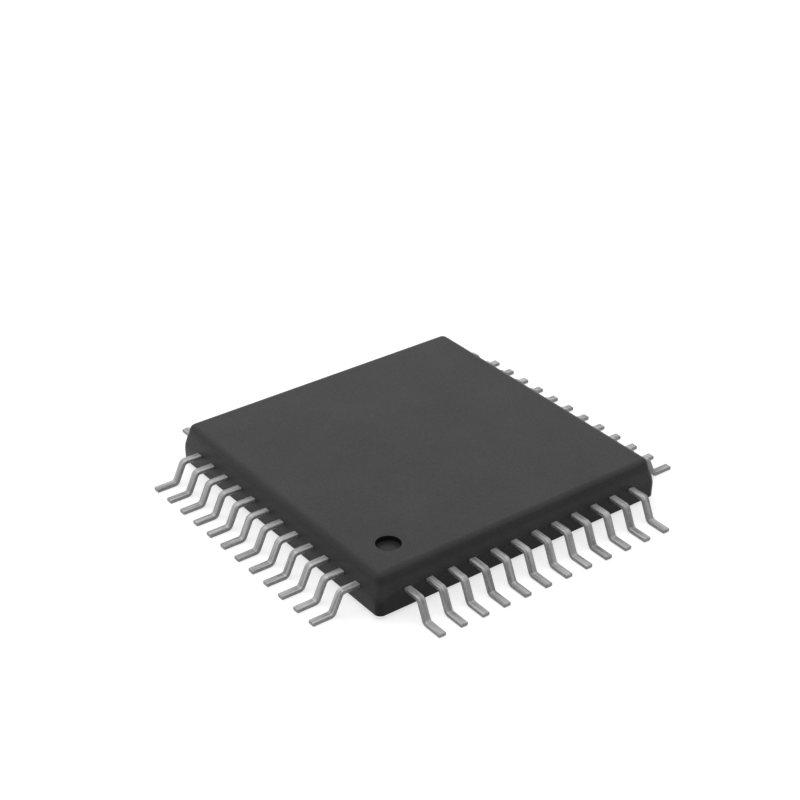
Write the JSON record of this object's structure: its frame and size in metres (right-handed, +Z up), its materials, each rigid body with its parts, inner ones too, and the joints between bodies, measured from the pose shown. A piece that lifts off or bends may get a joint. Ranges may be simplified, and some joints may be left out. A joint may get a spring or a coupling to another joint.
{
  "type": "quad flat pack chip",
  "caption": "Thin square surface-mount chip: black moulded body with a round index recess and bent gull-wing leads along all its sides.",
  "frame": {"origin": "middle of the package on the plane that the feet stand on", "axes": "+Z up out of the top face; lead 1 is at the -X end of the -Y side, beside the corner with the round index recess, and the leads are numbered anticlockwise seen from above"},
  "size_m": [0.0088, 0.0088, 0.0009],
  "materials": {
    "moulding_compound": "matte",
    "tin_plate": "satin",
    "copper_alloy": "satin",
    "silver_epoxy": "matte",
    "silicon": "polished",
    "bond_wire": "polished"
  },
  "bodies": {
    "root": {"package_body": "moulding_compound", "lead_01": "tin_plate", "lead_02": "tin_plate", "lead_03": "tin_plate", "lead_04": "tin_plate", "lead_05": "tin_plate", "lead_06": "tin_plate", "lead_07": "tin_plate", "lead_08": "tin_plate", "lead_09": "tin_plate", "lead_10": "tin_plate", "lead_11": "tin_plate", "lead_12": "tin_plate", "lead_13": "tin_plate", "lead_14": "tin_plate", "lead_15": "tin_plate", "lead_16": "tin_plate", "lead_17": "tin_plate", "lead_18": "tin_plate", "lead_19": "tin_plate", "lead_20": "tin_plate", "lead_21": "tin_plate", "lead_22": "tin_plate", "lead_23": "tin_plate", "lead_24": "tin_plate", "lead_25": "tin_plate", "lead_26": "tin_plate", "lead_27": "tin_plate", "lead_28": "tin_plate", "lead_29": "tin_plate", "lead_30": "tin_plate", "lead_31": "tin_plate", "lead_32": "tin_plate", "lead_33": "tin_plate", "lead_34": "tin_plate", "lead_35": "tin_plate", "lead_36": "tin_plate", "lead_37": "tin_plate", "lead_38": "tin_plate", "lead_39": "tin_plate", "lead_40": "tin_plate", "lead_41": "tin_plate", "lead_42": "tin_plate", "lead_43": "tin_plate", "lead_44": "tin_plate", "lead_45": "tin_plate", "lead_46": "tin_plate", "lead_47": "tin_plate", "lead_48": "tin_plate", "die_paddle": "copper_alloy", "die_attach": "silver_epoxy", "silicon_die": "silicon", "bond_wires_front": "bond_wire", "bond_wires_right": "bond_wire", "bond_wires_back": "bond_wire", "bond_wires_left": "bond_wire"}
  },
  "joints": []
}
